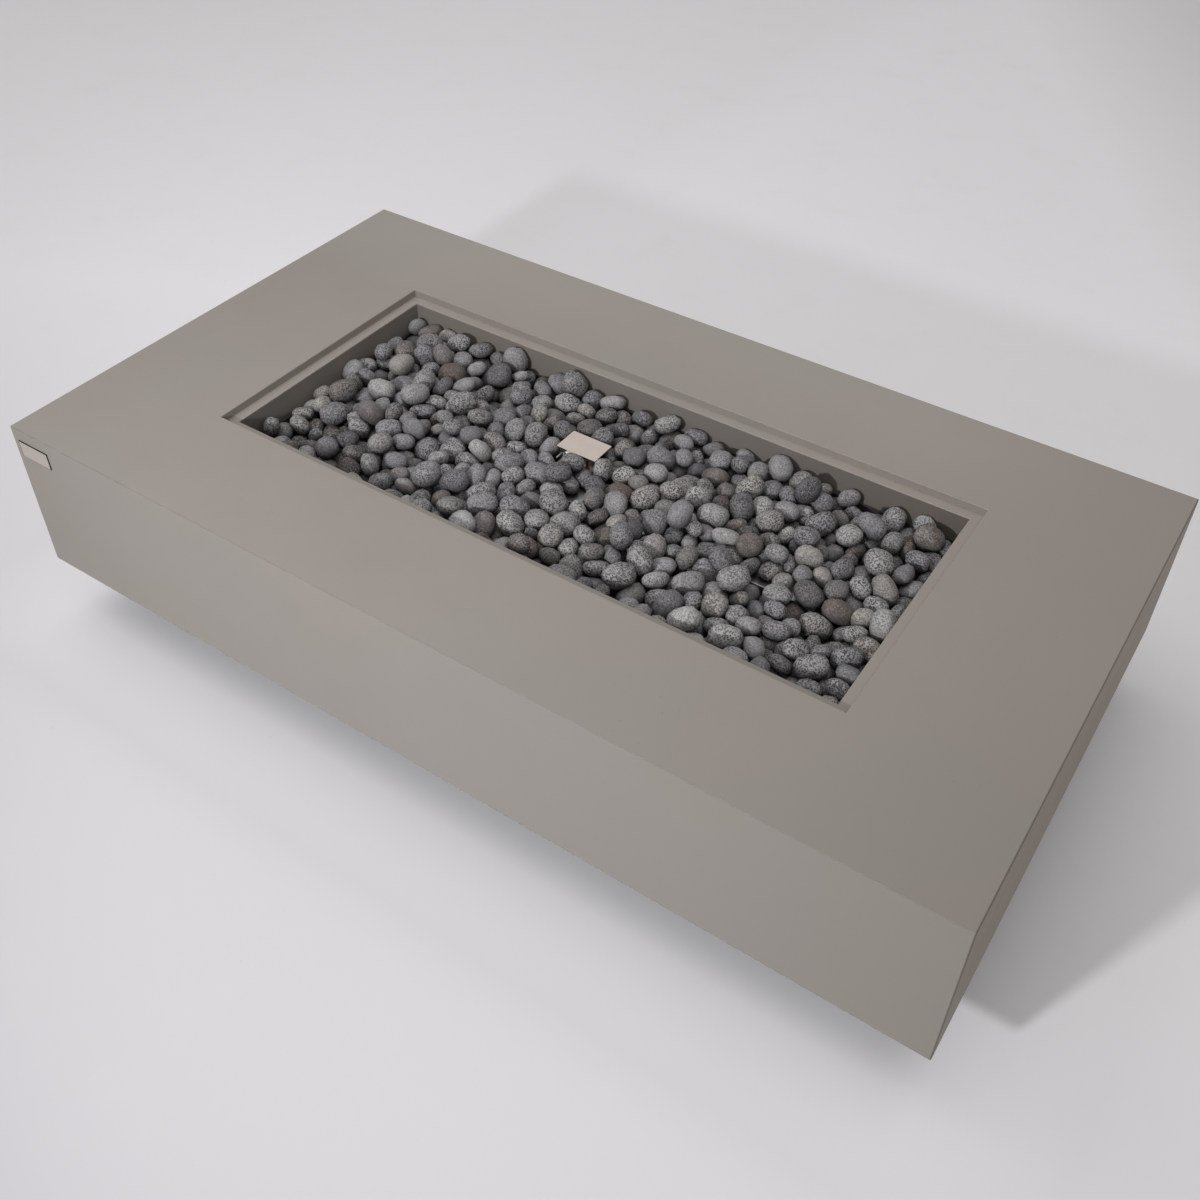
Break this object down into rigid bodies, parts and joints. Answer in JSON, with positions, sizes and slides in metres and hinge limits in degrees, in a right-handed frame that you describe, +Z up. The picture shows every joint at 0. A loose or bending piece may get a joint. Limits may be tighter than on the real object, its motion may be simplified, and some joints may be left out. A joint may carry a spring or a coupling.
{
  "type": "fire pit",
  "caption": "Low rectangular concrete fire table on a recessed plinth, with a stepped fire well, a linear gas burner under lava pebbles, and a valve knob and igniter at the rear.",
  "frame": {"origin": "on the floor under the centre of the table", "axes": "+X along the table, +Z up; the front, which carries the small plate, faces -Y"},
  "size_m": [1.524, 0.8435, 0.38],
  "materials": {
    "concrete": "matte",
    "lava": "matte",
    "stainless": "satin",
    "plate_steel": "satin",
    "black_paint": "satin",
    "zinc": "satin",
    "rubber": "matte",
    "brass": "satin",
    "copper": "satin",
    "aluminium": "satin",
    "ceramic": "satin",
    "knob_plastic": "satin",
    "chrome": "polished",
    "igniter_plastic": "gloss",
    "lead_sleeve": "satin",
    "battery_case": "satin"
  },
  "bodies": {
    "root": {"concrete_shell": "concrete", "corner_plate": "plate_steel", "lava_stones": "lava", "plinth_front": "black_paint", "plinth_rear": "black_paint", "plinth_left": "black_paint", "plinth_right": "black_paint", "frame_posts": "black_paint", "frame_long_rails": "black_paint", "frame_cross_rails": "black_paint", "isolation_pads": "rubber", "feet": "rubber", "plinth_bolts": "zinc", "slab_bolts": "zinc", "burner_tray": "stainless", "burner_trough": "stainless", "burner_deck": "stainless", "burner_nipple": "zinc", "nipple_locknut": "zinc", "air_mixer": "zinc", "gas_jet": "brass", "gas_elbow": "brass", "gas_pipe": "aluminium", "pipe_nut": "brass", "shield_bracket": "stainless", "ignition_shield": "stainless", "probe_clamp": "stainless", "electrode_insulator": "ceramic", "spark_electrode": "stainless", "thermocouple": "copper", "ignition_lead": "lead_sleeve", "thermocouple_lead": "copper", "thermocouple_nut": "brass", "control_panel": "stainless", "panel_screws": "zinc", "valve_body": "aluminium", "valve_cap": "aluminium", "neck_nut": "zinc", "gas_inlet": "brass", "knob_bezel": "chrome", "igniter_housing": "igniter_plastic", "igniter_nut": "igniter_plastic", "igniter_battery": "battery_case"},
    "plug": {"valve_plug": "brass"},
    "knob": {"valve_stem": "brass", "control_knob": "knob_plastic"},
    "button": {"igniter_button": "igniter_plastic"}
  },
  "joints": [
    {"name": "knob_turn", "type": "hinge", "parent": "root", "child": "plug", "pos_m": [-0.06, 0.3645, 0.198], "axis": [0, 1, 0], "range_deg": [0, 180]},
    {"name": "knob_push", "type": "slide", "parent": "plug", "child": "knob", "axis": [0, -1, 0], "range_m": [0, 0.004], "stiffness_N_per_m": 600, "springref_m": -0.005},
    {"name": "igniter_push", "type": "slide", "parent": "root", "child": "button", "axis": [0, -1, 0], "range_m": [0, 0.004], "stiffness_N_per_m": 700, "springref_m": -0.004}
  ]
}
